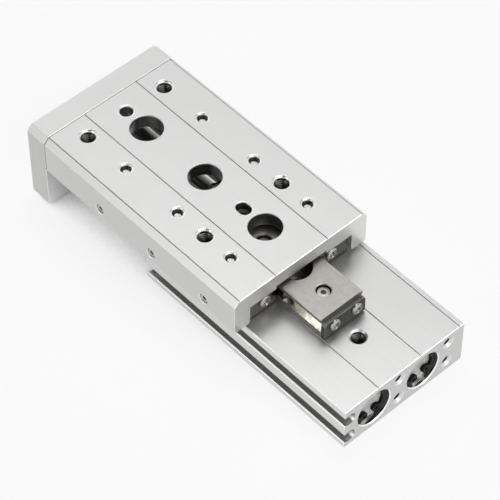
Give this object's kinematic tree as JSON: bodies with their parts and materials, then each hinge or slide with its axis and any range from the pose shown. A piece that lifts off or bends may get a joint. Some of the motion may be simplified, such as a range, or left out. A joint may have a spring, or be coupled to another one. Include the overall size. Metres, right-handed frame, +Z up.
{
  "type": "pneumatic slide table",
  "caption": "Compact pneumatic slide table: twin rods push a drilled inverted-U table with an end plate along a crossed-roller guide on an extruded cylinder body",
  "frame": {"origin": "the axis of the middle mounting hole, on the flat mounting face under the body", "axes": "+X along the stroke from the end plate to the head end, +Y to the side with the air ports, +Z up from the mounting face to the table"},
  "size_m": [0.1275, 0.0494, 0.0295],
  "materials": {
    "body_aluminium": "fine-blasted and clear anodised extrusion",
    "table_aluminium": "fine-blasted and clear anodised",
    "ground_steel": "finely ground",
    "stop_plate_steel": "plain plate",
    "plated_screws": "nickel plated",
    "socket_screws": "plated",
    "cap_aluminium": "turned, bright",
    "black_spring_steel": "black phosphate",
    "black_rubber": "matte",
    "bumper_urethane": "satin urethane",
    "rod_guide_alloy": "turned alloy",
    "piston_rod_steel": "hard chrome plated",
    "piston_aluminium": "turned",
    "magnet": "sintered, matte",
    "roller_steel": "polished bearing steel",
    "spacer_resin": "plain resin"
  },
  "bodies": {
    "body": {"body_housing": "body_aluminium", "guide_block": "ground_steel", "guide_block_screws": "socket_screws", "rear_roller_stop": "stop_plate_steel", "front_roller_stop": "stop_plate_steel", "roller_stop_screws": "plated_screws", "left_head_cap": "cap_aluminium", "right_head_cap": "cap_aluminium", "head_cap_o_rings": "black_rubber", "head_retaining_rings": "black_spring_steel", "head_bumpers": "bumper_urethane", "left_rod_guide": "rod_guide_alloy", "right_rod_guide": "rod_guide_alloy", "rod_guide_o_rings": "black_rubber", "rod_seals": "black_rubber", "rod_retaining_rings": "black_spring_steel", "rod_bumpers": "bumper_urethane"},
    "table": {"slide_table": "table_aluminium", "end_plate": "table_aluminium", "end_plate_bolts": "socket_screws", "left_rail": "ground_steel", "right_rail": "ground_steel", "rail_screws": "socket_screws", "preload_screws": "socket_screws", "rail_end_screws": "plated_screws", "left_piston_rod": "piston_rod_steel", "right_piston_rod": "piston_rod_steel", "left_piston": "piston_aluminium", "right_piston": "piston_aluminium", "piston_nuts": "socket_screws", "piston_seals": "black_rubber", "piston_magnets": "magnet", "rod_end_screws": "socket_screws"},
    "left_roller_train": {"left_rollers": "roller_steel", "left_roller_spacers": "spacer_resin"},
    "right_roller_train": {"right_rollers": "roller_steel", "right_roller_spacers": "spacer_resin"}
  },
  "joints": [
    {"name": "table_slide", "type": "slide", "parent": "body", "child": "table", "axis": [1, 0, 0], "range_m": [-0.0025, 0.0375]},
    {"name": "left_roller_slide", "type": "slide", "parent": "body", "child": "left_roller_train", "axis": [1, 0, 0], "range_m": [-0.00125, 0.01875]},
    {"name": "right_roller_slide", "type": "slide", "parent": "body", "child": "right_roller_train", "axis": [1, 0, 0], "range_m": [-0.00125, 0.01875]}
  ],
  "couplings": [
    {"joint": "left_roller_slide", "follows": "table_slide", "ratio": 0.5},
    {"joint": "right_roller_slide", "follows": "table_slide", "ratio": 0.5}
  ]
}
